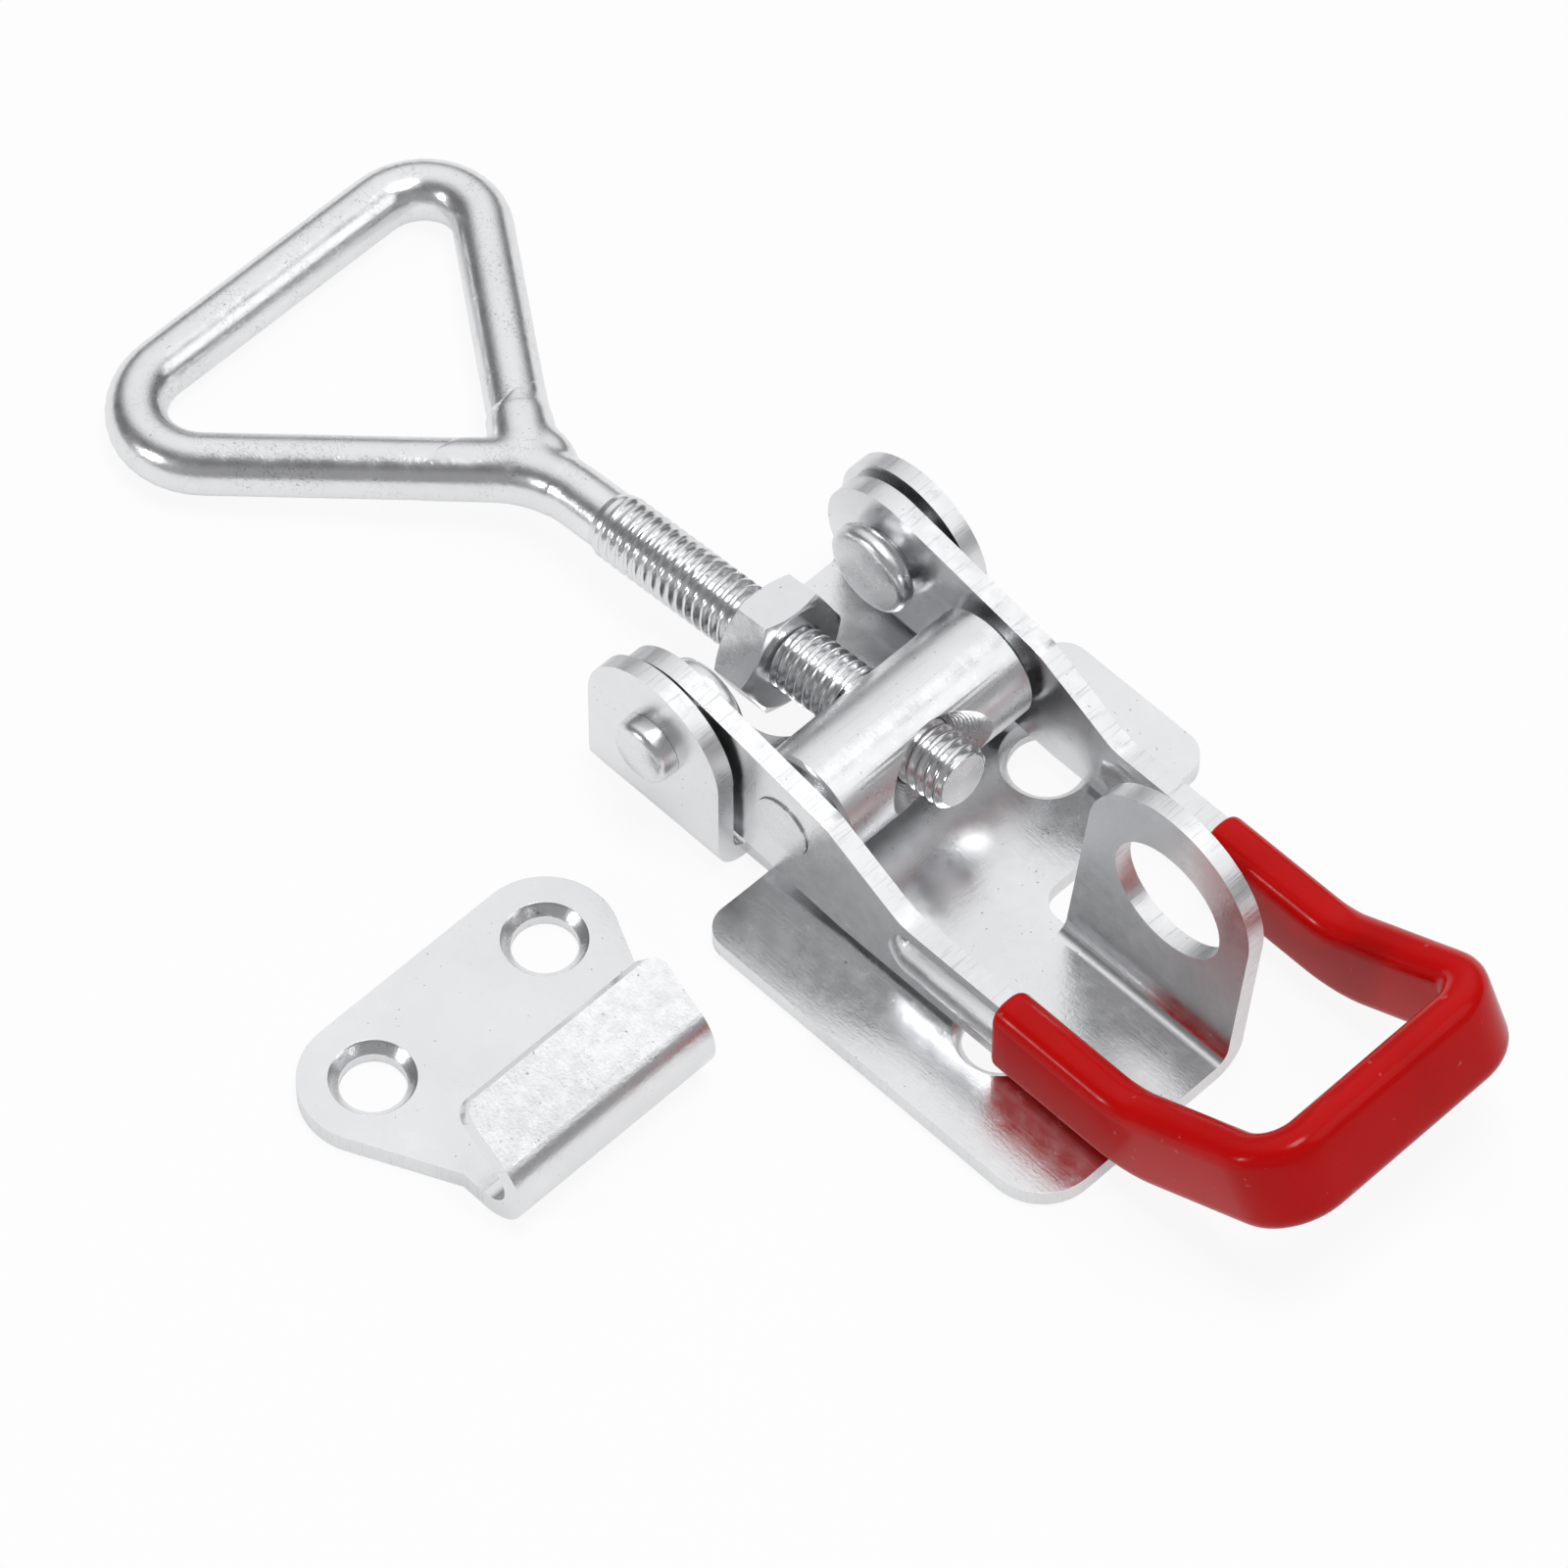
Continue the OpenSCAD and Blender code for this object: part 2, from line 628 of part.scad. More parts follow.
base_plate();
pivot_rivet_left();
pivot_rivet_right();
lever();
grip_sleeve();
trunnion();
lock_nut();
draw_bolt();
keeper();
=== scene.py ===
# %% [markdown]
# A zinc-plated draw latch: a folded base, a stamped lever with a red vinyl grip, a turned trunnion, and a
# threaded bolt that ends in a three-cornered loop. Its keeper lies beside it. The imported CAD model gives
# every place and size, so the first step is to load it and list its parts.

# %% Load the imported model
import math

import bmesh
import bpy
from mathutils import Matrix, Vector


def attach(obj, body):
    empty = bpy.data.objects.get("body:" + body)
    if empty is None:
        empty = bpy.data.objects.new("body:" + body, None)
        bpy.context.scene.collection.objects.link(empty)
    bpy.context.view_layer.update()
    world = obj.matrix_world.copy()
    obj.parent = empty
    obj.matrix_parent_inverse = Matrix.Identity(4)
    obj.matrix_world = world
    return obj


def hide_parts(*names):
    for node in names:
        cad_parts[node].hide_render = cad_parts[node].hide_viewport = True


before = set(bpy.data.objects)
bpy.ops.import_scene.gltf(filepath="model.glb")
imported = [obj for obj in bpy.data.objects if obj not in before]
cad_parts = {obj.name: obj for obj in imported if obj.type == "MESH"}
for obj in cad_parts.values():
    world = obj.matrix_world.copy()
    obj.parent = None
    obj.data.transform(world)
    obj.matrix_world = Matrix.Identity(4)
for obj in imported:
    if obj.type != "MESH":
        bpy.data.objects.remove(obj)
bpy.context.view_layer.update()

print("nodes", sorted(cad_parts))

# %% [markdown]
# Sizes are easiest to read in millimetres, from the place on the mounting face under the lever's pivot.
# One helper turns such a place into the model's metres.

# %% Sizes in millimetres
MM = 0.001
PIVOT_X = -27.35
PIVOT_Z = 11.0
TRUNNION = (12.7, 9.95)
WIRE_R = 2.65
REACH = 74.35
SLOPE = math.asin((TRUNNION[1] - WIRE_R) / REACH)


def at(x, y, z):
    return Vector(((x + PIVOT_X) * MM, y * MM, z * MM))


BOLT = Matrix.Translation(at(TRUNNION[0], 0, TRUNNION[1])) @ Matrix.Rotation(-SLOPE, 4, "Y")
print("the bolt slopes by", round(math.degrees(SLOPE), 2), "degrees")

# %% [markdown]
# Operators act on whatever is selected, so three small helpers keep that in hand: one makes a piece the
# only selected one, one opens it in edit mode, and one selects faces, edges or points by a test.

# %% Helpers for selecting


def pick(piece):
    bpy.ops.object.select_all(action="DESELECT")
    piece.select_set(True)
    bpy.context.view_layer.objects.active = piece


def edit(piece):
    pick(piece)
    bpy.ops.object.mode_set(mode="EDIT")


def leave():
    bpy.ops.object.mode_set(mode="OBJECT")


def choose(piece, kind, test):
    bpy.ops.mesh.select_all(action="DESELECT")
    bpy.ops.mesh.select_mode(type=kind)
    mesh = bmesh.from_edit_mesh(piece.data)
    items = {"FACE": mesh.faces, "EDGE": mesh.edges, "VERT": mesh.verts}[kind]
    chosen = [item for item in items if test(item)]
    for item in chosen:
        item.select = True
    mesh.select_flush_mode()
    bmesh.update_edit_mesh(piece.data)
    return len(chosen)


# %% [markdown]
# A material is a small tree of nodes. These helpers add a node, a noise pattern that is fixed to the piece
# itself, a change of its range, a blend of two colours, and a bump. All the finishes are built from them.

# %% Helpers for materials


def new_material(name):
    material = bpy.data.materials.new(name)
    material.use_nodes = True
    tree = material.node_tree
    shader = tree.nodes["Principled BSDF"]
    place = tree.nodes.new("ShaderNodeTexCoord").outputs["Object"]
    return material, tree, shader, place


def add(tree, kind, inputs=None, **settings):
    node = tree.nodes.new(kind)
    for key, value in settings.items():
        setattr(node, key, value)
    for key, value in (inputs or {}).items():
        if isinstance(value, bpy.types.NodeSocket):
            tree.links.new(value, node.inputs[key])
        else:
            node.inputs[key].default_value = value
    return node


def noise(tree, place, scale, detail=3.0, roughness=0.5, stretch=None, turn=(0, 0, 0)):
    if stretch:
        stretched = {"Vector": place, "Scale": stretch, "Rotation": turn}
        place = add(tree, "ShaderNodeMapping", stretched).outputs[0]
    return add(tree, "ShaderNodeTexNoise", {"Vector": place, "Scale": scale, "Detail": detail,
                                            "Roughness": roughness}).outputs["Fac"]


def between(tree, value, low, high, to_low, to_high):
    return add(tree, "ShaderNodeMapRange", {"Value": value, "From Min": low, "From Max": high,
                                            "To Min": to_low, "To Max": to_high}).outputs[0]


def blend(tree, factor, first, second):
    node = add(tree, "ShaderNodeMix", {"Factor": factor}, data_type="RGBA")
    for socket, colour in ((node.inputs[6], first), (node.inputs[7], second)):
        if isinstance(colour, bpy.types.NodeSocket):
            tree.links.new(colour, socket)
        else:
            socket.default_value = (*colour, 1)
    return node.outputs[2]


def bump(tree, height, depth, strength=1.0, under=None):
    inputs = {"Height": height, "Distance": depth, "Strength": strength}
    if under is not None:
        inputs["Normal"] = under
    return add(tree, "ShaderNodeBump", inputs).outputs[0]


# %% [markdown]
# Bright zinc plate is a thin, slightly cloudy metal film. It keeps the grain of the rolled sheet, small
# pits, and the scratches of tumbling in a barrel. A metallic shader shows all of these through its
# roughness and bump, while its colour hardly changes. The crooked nicks are contour lines of a noise, kept
# only in patches. Pattern sizes are given as cells to the metre, and bump depths in metres.

# %% Zinc finishes
CLOUDS, PATCHES, MOTTLE, NICKS, PITS, GRAIN = 95, 240, 700, 1300, 2600, 3200
SCRATCHES = 60
PIT_GREY, NICK_GREY = (0.26, 0.26, 0.27), (0.20, 0.20, 0.21)
PLATED = (0.84, 0.845, 0.855)
WORN_TONE, STREAK_TONE = 0.94, 0.4


def zinc(name, colour=PLATED, rough=(0.17, 0.29), grain=0.000014, lines=None,
         line_depth=0.000012, dark=0.4, marks=0.06):
    material, tree, shader, place = new_material(name)
    cloud = noise(tree, place, CLOUDS, 4, 0.6)
    mottle = noise(tree, place, MOTTLE, 4, 0.6)
    pits = noise(tree, place, PITS, 1, 0.4)
    pit_mask = between(tree, pits, 0.74, 0.79, 0, 1)
    contour = {0: noise(tree, place, NICKS, 2, 0.6), 1: 0.5}
    contour = add(tree, "ShaderNodeMath", contour, operation="SUBTRACT")
    contour = add(tree, "ShaderNodeMath", {0: contour.outputs[0]}, operation="ABSOLUTE")
    patches = between(tree, noise(tree, place, PATCHES, 2, 0.5), 0.46, 0.60, 0, marks)
    on_contour = between(tree, contour.outputs[0], 0.003, 0.013, 1, 0)
    nicks = add(tree, "ShaderNodeMath", {0: on_contour, 1: patches}, operation="MULTIPLY").outputs[0]
    scratches = noise(tree, place, SCRATCHES, 3, 0.7, (3.0, 60.0, 60.0), (0, 0, 0.7))
    crossing = noise(tree, place, SCRATCHES, 3, 0.7, (70.0, 4.0, 60.0), (0, 0, 0.4))
    dull = between(tree, mottle, 0.3, 0.75, rough[0], rough[1])
    tree.links.new(dull, shader.inputs["Roughness"])
    worn = blend(tree, between(tree, cloud, 0.35, 0.7, 0, 1), colour, tuple(WORN_TONE * c for c in colour))
    worn = blend(tree, between(tree, pit_mask, 0, 1, 0, 0.5), worn, PIT_GREY)
    worn = blend(tree, nicks, worn, NICK_GREY)
    shader.inputs["Metallic"].default_value = 1.0
    normal = bump(tree, mottle, grain * 0.5)
    normal = bump(tree, noise(tree, place, GRAIN, 3, 0.7), grain, 1.0, normal)
    normal = bump(tree, scratches, grain * 0.7, 0.7, normal)
    normal = bump(tree, crossing, grain * 0.7, 0.6, normal)
    normal = bump(tree, between(tree, pit_mask, 0, 1, 1, 0), 0.000006, 0.4, normal)
    if lines:
        streaks = noise(tree, place, 1, 3, 0.7, lines)
        normal = bump(tree, streaks, line_depth, 1.0, normal)
        dark_streak = tuple(STREAK_TONE * c for c in colour)
        worn = blend(tree, between(tree, streaks, 0.33, 0.45, dark, 0), worn, dark_streak)
    tree.links.new(worn, shader.inputs["Base Color"])
    tree.links.new(normal, shader.inputs["Normal"])
    return material


CUT_METAL = (0.82, 0.825, 0.835)
SHEET = zinc("zinc_sheet")
EDGE_FLAT = zinc("sheared_edge_flat", CUT_METAL, (0.26, 0.40), 0.000008,
                 (3600, 3600, 200), 0.000012, 0.15)
EDGE_UPRIGHT = zinc("sheared_edge_upright", CUT_METAL, (0.26, 0.42), 0.000008,
                    (3200, 180, 3200), 0.000024, 0.38)
TURNED = zinc("drawn_bar", CUT_METAL, (0.24, 0.36), 0.000011, (2600, 70, 2600), 0.000004, 0.10)
ROUND_WIRE = zinc("zinc_wire", (0.85, 0.855, 0.865), (0.17, 0.30), 0.000014, marks=0.55)
THREAD_STEEL = zinc("zinc_thread", CUT_METAL, (0.16, 0.26), 0.000005)
finishes = (SHEET, EDGE_FLAT, EDGE_UPRIGHT, TURNED, ROUND_WIRE, THREAD_STEEL)
print("zinc finishes", [finish.name for finish in finishes])

# %% [markdown]
# The countersink and the bolt's cut end show rings left by the tool. A rings texture about the bolt's own
# axis makes them: a mapping node brings that axis to the pattern's X.

# %% Ring finish
RING_SPACING = 0.00022
WAVES_TO_SPACING = 0.31


def ringed(name):
    material = zinc(name, (0.74, 0.745, 0.755), (0.24, 0.36), 0.000010)
    tree = material.node_tree
    shader = tree.nodes["Principled BSDF"]
    place = next(n for n in tree.nodes if n.type == "TEX_COORD").outputs["Object"]
    to_bolt = BOLT.inverted()
    turned = add(tree, "ShaderNodeMapping", {"Vector": place, "Location": to_bolt.translation,
                                             "Rotation": to_bolt.to_euler()})
    wave = {"Vector": turned.outputs[0], "Scale": WAVES_TO_SPACING / RING_SPACING,
            "Distortion": 0.6, "Detail": 2.0, "Detail Scale": 3.0}
    rings = add(tree, "ShaderNodeTexWave", wave, wave_type="RINGS", rings_direction="X")
    under = shader.inputs["Normal"].links[0].from_socket
    tree.links.new(bump(tree, rings.outputs["Fac"], 0.00002, 0.8, under), shader.inputs["Normal"])
    return material


RINGED = ringed("countersink_rings")
print("ring finish", RINGED.name)

# %% [markdown]
# The grip is dipped vinyl: a clear, saturated red with a soft gloss, a little light that enters it, slow
# waves in its surface where it ran while hot, and a few specks of dust under the gloss.

# %% Red vinyl
DEEP_RED, SHADE_RED, DUST = (0.52, 0.0024, 0.0024), (0.46, 0.0020, 0.0022), (0.62, 0.16, 0.14)


def vinyl():
    material, tree, shader, place = new_material("red_vinyl_grip")
    waves = noise(tree, place, 130, 2, 0.4)
    specks = between(tree, noise(tree, place, 900, 1, 0.4), 0.735, 0.76, 0, 1)
    red = blend(tree, between(tree, waves, 0.3, 0.7, 0, 1), DEEP_RED, SHADE_RED)
    red = blend(tree, between(tree, specks, 0, 1, 0, 0.30), red, DUST)
    tree.links.new(red, shader.inputs["Base Color"])
    tree.links.new(between(tree, waves, 0.3, 0.7, 0.15, 0.23), shader.inputs["Roughness"])
    shader.inputs["Specular IOR Level"].default_value = 0.13
    shader.inputs["Subsurface Weight"].default_value = 0.05
    shader.inputs["Subsurface Radius"].default_value = (0.003, 0.0006, 0.0005)
    shader.inputs["Subsurface Scale"].default_value = 0.6
    normal = bump(tree, waves, 0.00010, 0.5)
    normal = bump(tree, noise(tree, place, 1400, 2, 0.5), 0.000008, 0.6, normal)
    normal = bump(tree, specks, 0.00003, 0.6, normal)
    tree.links.new(normal, shader.inputs["Normal"])
    return material


VINYL = vinyl()
print("materials", len(bpy.data.materials))

# %% [markdown]
# Stamped sheet has no perfectly sharp edge: the punch rolls one side over and the plating rounds the rest.
# Each sheet piece is a merged copy of its CAD node, with flat faces joined, and then a narrow bevel on
# every sharp edge. The cut edges get their own finish by the direction they face.

# %% Helpers for copied pieces


def copy_of(node, name):
    piece = bpy.data.objects.new(name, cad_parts[node].data.copy())
    bpy.context.scene.collection.objects.link(piece)
    pick(piece)
    bpy.ops.mesh.customdata_custom_splitnormals_clear()
    edit(piece)
    bpy.ops.mesh.select_all(action="SELECT")
    bpy.ops.mesh.remove_doubles(threshold=0.000002)
    bpy.ops.mesh.dissolve_limited(angle_limit=math.radians(0.4))
    leave()
    return piece


def soften(piece, width, angle=32):
    edit(piece)
    bpy.ops.mesh.select_mode(type="EDGE")
    bpy.ops.mesh.select_all(action="DESELECT")
    bpy.ops.mesh.edges_select_sharp(sharpness=math.radians(angle))
    bpy.ops.mesh.bevel(offset=width * MM, segments=2, profile=0.5, clamp_overlap=True, loop_slide=False)
    leave()


def paint(piece, material, test=None):
    if test is None:
        piece.data.materials.clear()
        piece.data.materials.append(material)
        for face in piece.data.polygons:
            face.material_index = 0
        return
    piece.data.materials.append(material)
    piece.active_material_index = len(piece.data.materials) - 1
    edit(piece)
    choose(piece, "FACE", test)
    bpy.ops.object.material_slot_assign()
    leave()


def settle(piece, body, slot, *nodes, angle=38, level=False):
    pick(piece)
    bpy.ops.object.shade_smooth_by_angle(angle=math.radians(angle))
    if level:
        even = piece.modifiers.new("even_shine", "WEIGHTED_NORMAL")
        even.keep_sharp = True
        bpy.ops.object.modifier_apply(modifier="even_shine")
    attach(piece, body)
    if nodes:
        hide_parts(*nodes)
    print(piece.name, len(piece.data.polygons), "faces")
    return piece


# %% [markdown]
# The base: one stamping, with the rims of its flat part cut straight down and those of its ears and tab
# cut across the sheet that stands on edge. Shear streaks run through the sheet's thickness, so the two
# kinds of rim take two finishes, told apart by their height and by the way they face.

# %% Base plate
EDGE_ROUND, BASE_TOP, EAR_FOOT = 0.16, 1.75, 3.3
base = copy_of("base_plate", "base_plate_plated")
soften(base, EDGE_ROUND)
paint(base, SHEET)
paint(base, EDGE_FLAT, lambda f: abs(f.normal.z) < 0.5 and f.calc_center_median().z < BASE_TOP * MM)
paint(base, EDGE_UPRIGHT, lambda f: abs(f.normal.y) < 0.5 and f.calc_center_median().z > EAR_FOOT * MM)
settle(base, "mounting", "zinc_plated_steel", "base_plate", level=True)

# %% [markdown]
# The lever is a strip set on edge and bent to a U, with a rib pressed into each arm. The CAD has all of its
# shape, so the copy only needs its rounded edges, and the streaks of the shears along its upper rim.

# %% Lever
lever = copy_of("lever", "lever_plated")
soften(lever, EDGE_ROUND)
paint(lever, SHEET)
paint(lever, EDGE_UPRIGHT, lambda f: abs(f.normal.y) < 0.5)
settle(lever, "lever_assembly", "zinc_plated_steel", "lever", level=True)

# %% [markdown]
# Round pieces come from a lathe or a heading die, so one helper makes them all: an open line of points, from
# the axis out and back, is turned about the axis by the Screw modifier. With a rise for each turn, the same
# modifier makes a thread.

# %% Turned and threaded shapes


def revolve(name, profile, steps, rise=0.0, turns=1):
    bpy.ops.object.select_all(action="DESELECT")
    bpy.ops.mesh.primitive_circle_add(vertices=len(profile), radius=MM, fill_type="NOTHING")
    piece = bpy.context.object
    piece.name = name
    edit(piece)
    last = len(profile) - 1
    choose(piece, "EDGE", lambda e: {v.index for v in e.verts} == {0, last})
    bpy.ops.mesh.delete(type="EDGE")
    leave()
    for point, (radius, height) in zip(piece.data.vertices, profile):
        point.co = (radius * MM, 0, height * MM)
    screw = piece.modifiers.new("turns", "SCREW")
    screw.axis = "Z"
    screw.angle = math.tau
    screw.screw_offset = rise * MM
    screw.iterations = turns
    screw.steps = screw.render_steps = steps
    pick(piece)
    bpy.ops.object.modifier_apply(modifier="turns")
    edit(piece)
    bpy.ops.mesh.select_all(action="SELECT")
    bpy.ops.mesh.remove_doubles(threshold=0.000001)
    bpy.ops.mesh.normals_make_consistent(inside=False)
    leave()
    return piece


# %% [markdown]
# A pivot rivet has a thick cheese head inside its arm, with a rolled rim, a shank through arm and ear, and a
# closed end outside, spread to a short stud with a rounded rim. It is a turned form, so its half outline
# is revolved. It is the same on both sides, turned the other way.

# %% Rivets
ARM_IN, EAR_OUT = 11.3, 15.5
HEAD_R, HEAD_H, SHANK_R, TAIL_R, TAIL_H = 4.2, 2.5, 2.5, 3.0, 1.95
SEAT = 0.02
RIVET = ((0, ARM_IN - HEAD_H), (HEAD_R - 0.75, ARM_IN - HEAD_H), (HEAD_R - 0.45, ARM_IN - HEAD_H + 0.06),
         (HEAD_R - 0.18, ARM_IN - HEAD_H + 0.22), (HEAD_R, ARM_IN - HEAD_H + 0.6), (HEAD_R, ARM_IN - 1.1),
         (HEAD_R - 0.2, ARM_IN - 0.75), (HEAD_R - 0.8, ARM_IN - 0.5), (HEAD_R - 1.2, ARM_IN - SEAT),
         (SHANK_R, ARM_IN - SEAT), (SHANK_R, EAR_OUT + SEAT), (TAIL_R, EAR_OUT + SEAT),
         (TAIL_R - 0.05, EAR_OUT + 1.2), (TAIL_R - 0.15, EAR_OUT + 1.5), (TAIL_R - 0.4, EAR_OUT + 1.78),
         (TAIL_R - 0.7, EAR_OUT + TAIL_H - 0.04), (0, EAR_OUT + TAIL_H))
for side, turn in (("left", 90), ("right", -90)):
    rivet = revolve("rivet_" + side, RIVET, 56)
    rivet.data.transform(Matrix.Translation(at(0, 0, PIVOT_Z)) @ Matrix.Rotation(math.radians(turn), 4, "X"))
    paint(rivet, TURNED)
    settle(rivet, "mounting", "zinc_plated_steel", "pivot_rivet_" + side)

# %% [markdown]
# The trunnion is a drawn bar with a tenon at each end, which the arms turn on. Its tenons are drawn out a
# little past the arms. The countersink round the bolt shows the rings of the drill, so its faces are found
# in the bolt's own frame and painted apart.

# %% Trunnion
TENON_FROM, TENON_END = 12.4, 13.4
SINK_R, SINK_DEEP = (3.1, 4.9), 5.1
trunnion = copy_of("trunnion", "trunnion_turned")
for point in trunnion.data.vertices:
    if abs(point.co.y) > TENON_FROM * MM:
        point.co.y = math.copysign(TENON_END * MM, point.co.y)
soften(trunnion, 0.14, 25)
paint(trunnion, TURNED)


def in_countersink(face):
    place = BOLT.inverted() @ face.calc_center_median() / MM
    return SINK_R[0] < math.hypot(place.y, place.z) < SINK_R[1] and math.hypot(place.x, place.z) < SINK_DEEP


paint(trunnion, RINGED, in_countersink)
settle(trunnion, "trunnion", "zinc_plated_steel", "trunnion", level=True)

# %% [markdown]
# The thin lock nut is a little thicker in the photograph than its plain solid, so its rear half is moved
# back along the bolt. Its bore and its chamfered corners stay as the CAD gives them.

# %% Lock nut
NUT_MID, NUT_MORE = -14.5, 1.0
nut = copy_of("lock_nut", "lock_nut_plated")
for point in nut.data.vertices:
    along = (BOLT.inverted() @ point.co) / MM
    if along.x > NUT_MID:
        point.co += BOLT.to_3x3() @ Vector((NUT_MORE * MM, 0, 0))
soften(nut, 0.12, 25)
paint(nut, SHEET)
settle(nut, "lock_nut", "zinc_plated_steel", "lock_nut", level=True)

# %% [markdown]
# The keeper is a small plate whose far side is curled up to a hook. Its rims are cut straight down, like
# those of the base, and its hook keeps the finish of the sheet.

# %% Keeper
KEEPER_TOP = 1.95
keeper = copy_of("keeper", "keeper_plated")
soften(keeper, 0.18)
paint(keeper, SHEET)
paint(keeper, EDGE_FLAT, lambda f: abs(f.normal.z) < 0.5 and f.calc_center_median().z < KEEPER_TOP * MM)
settle(keeper, "mounting", "zinc_plated_steel", "keeper", level=True)

# %% [markdown]
# The bolt's thread is rolled: a wave of one pitch, screwed round the axis. A small open ring of points is
# set to that wave, and the Screw modifier turns and lifts it as a real thread runs. Both ends are then
# cut square with bisect. At last each point is held between two radii: crests are drawn in under a chamfer
# at the cut end and where the thread starts, and the grooves grow shallow towards the neck.

# %% Thread of the bolt
PITCH = 1.0
THREAD = (-33.8, 7.5)
ROOT_R, CREST_R = 2.50, 2.99
WAVE = ((ROOT_R, 0.0), (2.54, 0.09), (2.88, 0.28), (2.965, 0.36), (CREST_R, 0.50), (2.965, 0.64),
        (2.88, 0.72), (2.54, 0.91), (ROOT_R, 1.0))
STEPS_A_TURN = 120
END_R, END_CHAMFER = 2.45, 1.2
START_R, START_TAPER = 2.62, 0.35
FILLED_R, FILL_FADE = 2.86, 0.03
FINE = 0.0000001


def threaded_rod(name):
    turns = math.ceil((THREAD[1] - THREAD[0]) / PITCH) + 3
    profile = [(radius, height * PITCH) for radius, height in WAVE]
    rod = revolve(name, profile, STEPS_A_TURN, PITCH, turns)
    rod.data.transform(Matrix.Rotation(math.pi / 2, 4, "Y"))
    rod.data.transform(Matrix.Translation(((THREAD[0] - 1.5 * PITCH) * MM, 0, 0)))
    edit(rod)
    for end, side in ((THREAD[0], -1), (THREAD[1], 1)):
        bpy.ops.mesh.select_all(action="SELECT")
        bpy.ops.mesh.bisect(plane_co=(end * MM, 0, 0), plane_no=(side, 0, 0), clear_outer=True,
                            use_fill=True, threshold=FINE)
    bpy.ops.mesh.select_all(action="SELECT")
    bpy.ops.mesh.normals_make_consistent(inside=False)
    leave()
    for point in rod.data.vertices:
        x, y, z = point.co / MM
        radius = math.hypot(y, z)
        from_start = x - THREAD[0]
        limit = min(CREST_R, END_R + (THREAD[1] - x) * END_CHAMFER, START_R + from_start * START_TAPER)
        held = min(limit, max(radius, FILLED_R - from_start * FILL_FADE))
        if 0 < radius != held:
            point.co.y, point.co.z = y * held / radius * MM, z * held / radius * MM
    return rod


def cut_end(face):
    return face.normal.x > 0.9 and face.calc_center_median().x > (THREAD[1] - 0.2) * MM


# The rim of the cut end stays crisp: its edges are marked sharp.
thread = threaded_rod("bolt_thread")
edit(thread)
choose(thread, "FACE", cut_end)
bpy.ops.mesh.region_to_loop()
bpy.ops.mesh.mark_sharp()
leave()
print("thread", len(thread.data.polygons), "faces")

# %% [markdown]
# The loop is one wire, bent cold and welded back to its neck. It grows from a ring of points: extruded
# along each straight stretch, and spun round the middle of each bend, as the wire itself is bent. The last
# stretch is divided at three places near its end, where a low collar stands round the wire.

# %% Loop of the bolt
NECK, WELD_END, WELD_SIDE = 41.9, 43.6, -0.3
IN_THREAD = 0.6
NEAR_CORNER, FAR_CORNER = (REACH, -27.75), (REACH, 21.8)
CORNERS = [(-THREAD[0] - IN_THREAD, 0.0), (NECK, 0.0), NEAR_CORNER, FAR_CORNER, (WELD_END, WELD_SIDE)]
BENDS = (0, 12.0, 6.4, 5.5, 0, 0, 0, 0)
STRETCH_STEPS, BEND_STEPS = 5, 14
COLLAR = (5.3, 5.0, 4.7)
COLLAR_H = 0.2
BAR = (Vector(CORNERS[3]) - Vector(CORNERS[4])).normalized()
CORNERS[4:4] = [tuple(Vector(CORNERS[4]) + BAR * length) for length in COLLAR]


def swept(name, section, points, bends, side):
    ahead = (points[1] - points[0]).normalized()
    bpy.ops.object.select_all(action="DESELECT")
    bpy.ops.mesh.primitive_circle_add(vertices=len(section), radius=MM, fill_type="NGON")
    piece = bpy.context.object
    piece.name = name
    for point, (across, rise) in zip(piece.data.vertices, section):
        point.co = (across * MM, rise * MM, 0)
    frame_in = Matrix((side, ahead.cross(side), ahead)).transposed().to_4x4()
    piece.data.transform(Matrix.Translation(points[0]) @ frame_in)
    edit(piece)
    bpy.ops.mesh.select_all(action="SELECT")
    place = points[0]
    for i in range(1, len(points)):
        ahead = (points[i] - points[i - 1]).normalized()
        onward = (points[i + 1] - points[i]).normalized() if i < len(points) - 1 else ahead
        turn = ahead.angle(onward)
        stop = points[i] - ahead * bends[i] * MM * math.tan(turn / 2)
        for _ in range(STRETCH_STEPS):
            move = {"value": (stop - place) / STRETCH_STEPS}
            bpy.ops.mesh.extrude_region_move(TRANSFORM_OT_translate=move)
        if turn > 0.001:
            axis = ahead.cross(onward).normalized()
            middle = stop + axis.cross(ahead) * bends[i] * MM
            bpy.ops.mesh.spin(steps=BEND_STEPS, angle=-turn, center=middle, axis=axis)
        place = points[i] + onward * bends[i] * MM * math.tan(turn / 2)
    bpy.ops.mesh.select_all(action="SELECT")
    bpy.ops.mesh.remove_doubles(threshold=0.000001)
    bpy.ops.mesh.normals_make_consistent(inside=False)
    leave()
    return piece


SIDES = 36
angles = [math.tau * i / SIDES for i in range(SIDES)]
round_section = [(WIRE_R * math.cos(angle), WIRE_R * math.sin(angle)) for angle in angles]
wire_path = [Vector((-reach * MM, side * MM, 0)) for reach, side in CORNERS]
loop = swept("bolt_wire", round_section, wire_path, BENDS, Vector((0, 0, 1)))
bar = Vector((-BAR.x, BAR.y, 0))
for point in loop.data.vertices:
    offset = point.co / MM - Vector((-WELD_END, WELD_SIDE, 0))
    along = offset.dot(bar)
    if -1 < along < COLLAR[0] - 0.1 and offset.y > -3 and (offset - bar * along).length < 3:
        swell = COLLAR_H * min(1, (COLLAR[0] - along) / (COLLAR[0] - COLLAR[2]))
        point.co += (offset - bar * along).normalized() * swell * MM
print("loop box", [round(v / MM, 1) for v in loop.dimensions])

